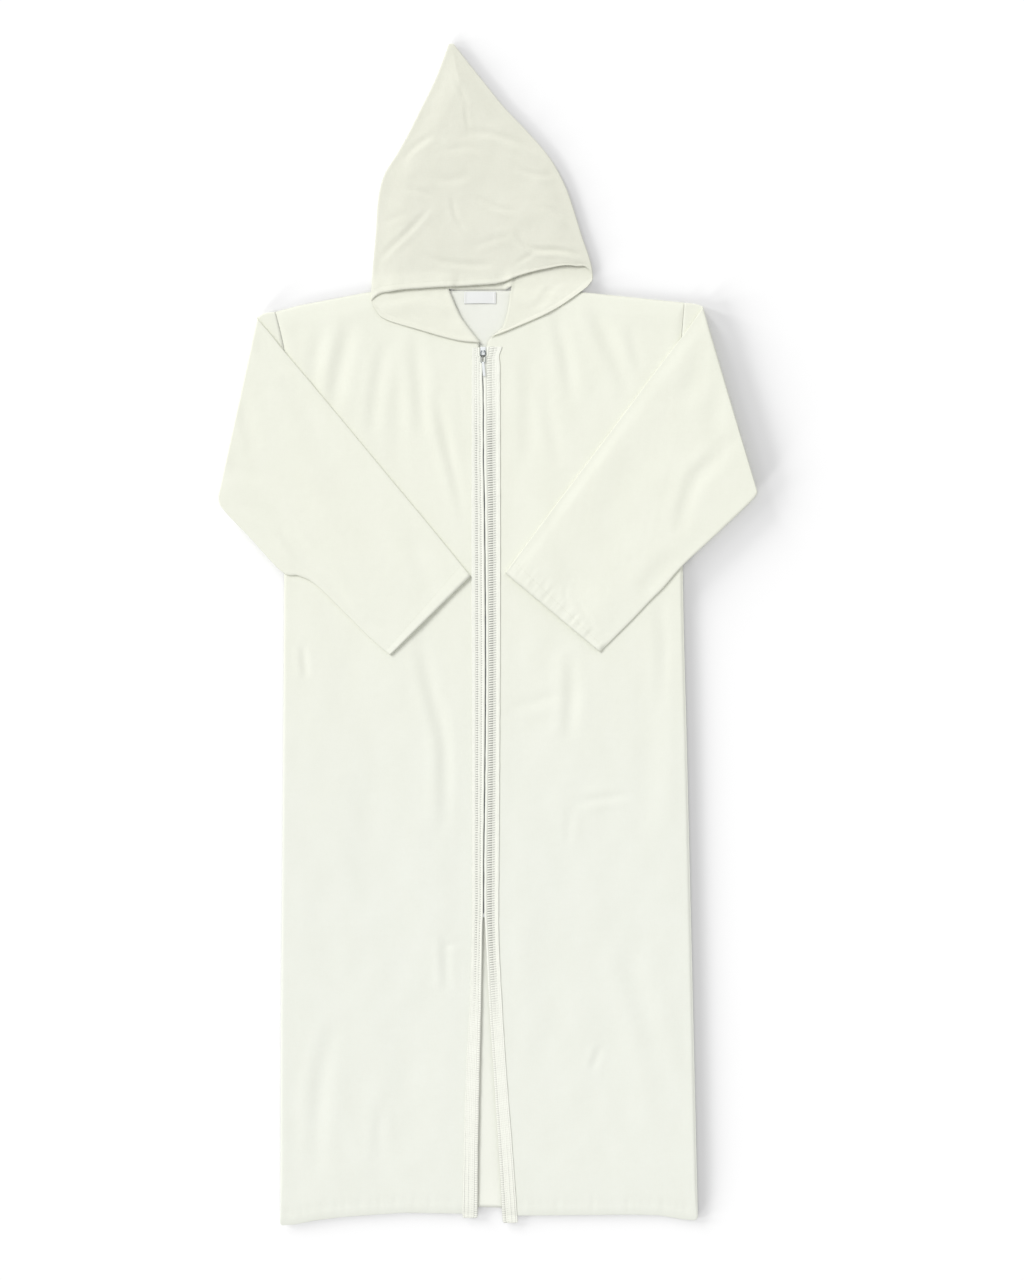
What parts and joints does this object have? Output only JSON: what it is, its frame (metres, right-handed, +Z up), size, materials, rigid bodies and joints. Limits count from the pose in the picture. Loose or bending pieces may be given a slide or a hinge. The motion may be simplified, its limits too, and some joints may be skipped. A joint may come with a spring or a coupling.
{
  "type": "hooded zip-front djellaba robe",
  "caption": "Long hooded zip-front robe laid flat on its back, pointed hood above the shoulders, both sleeves folded over the front, braid bands down the centre.",
  "frame": {"origin": "centre of the bounding box's base: on the surface the robe lies on, midway between hem and hood tip", "axes": "+Z up from the surface, +Y from the hem to the hood's tip, +X to the right of someone looking down at the front"},
  "size_m": [0.8193, 1.7913, 0.0109],
  "materials": {
    "cloth": "fine plain weave, matt with a faint sheen",
    "braid": "corded braid, slightly lustrous",
    "zip_tape": "woven tape",
    "zip_teeth": "semi-gloss",
    "zip_metal": "polished, lightly worn",
    "label": "satin woven, blank"
  },
  "bodies": {
    "robe": {"back": "cloth", "front_left": "cloth", "front_right": "cloth", "sleeve_left": "cloth", "sleeve_right": "cloth", "hood": "cloth", "braid_left": "braid", "braid_right": "braid", "zip_tape_left": "zip_tape", "zip_tape_right": "zip_tape", "zip_chain": "zip_teeth", "zip_stop": "zip_teeth", "zip_slider": "zip_metal", "neck_label": "label"},
    "pull_link": {"pull_link": "zip_metal"},
    "pull_tab": {"pull_tab": "zip_metal"}
  },
  "joints": [
    {"name": "link_hinge", "type": "hinge", "parent": "robe", "child": "pull_link", "pos_m": [-0.006, 0.431, 0.0089], "axis": [-1, 0, 0], "range_deg": [0, 135]},
    {"name": "tab_hinge", "type": "hinge", "parent": "pull_link", "child": "pull_tab", "pos_m": [-0.006, 0.413, 0.0089], "axis": [-0.9962, -0.0872, 0], "range_deg": [0, 70]}
  ]
}
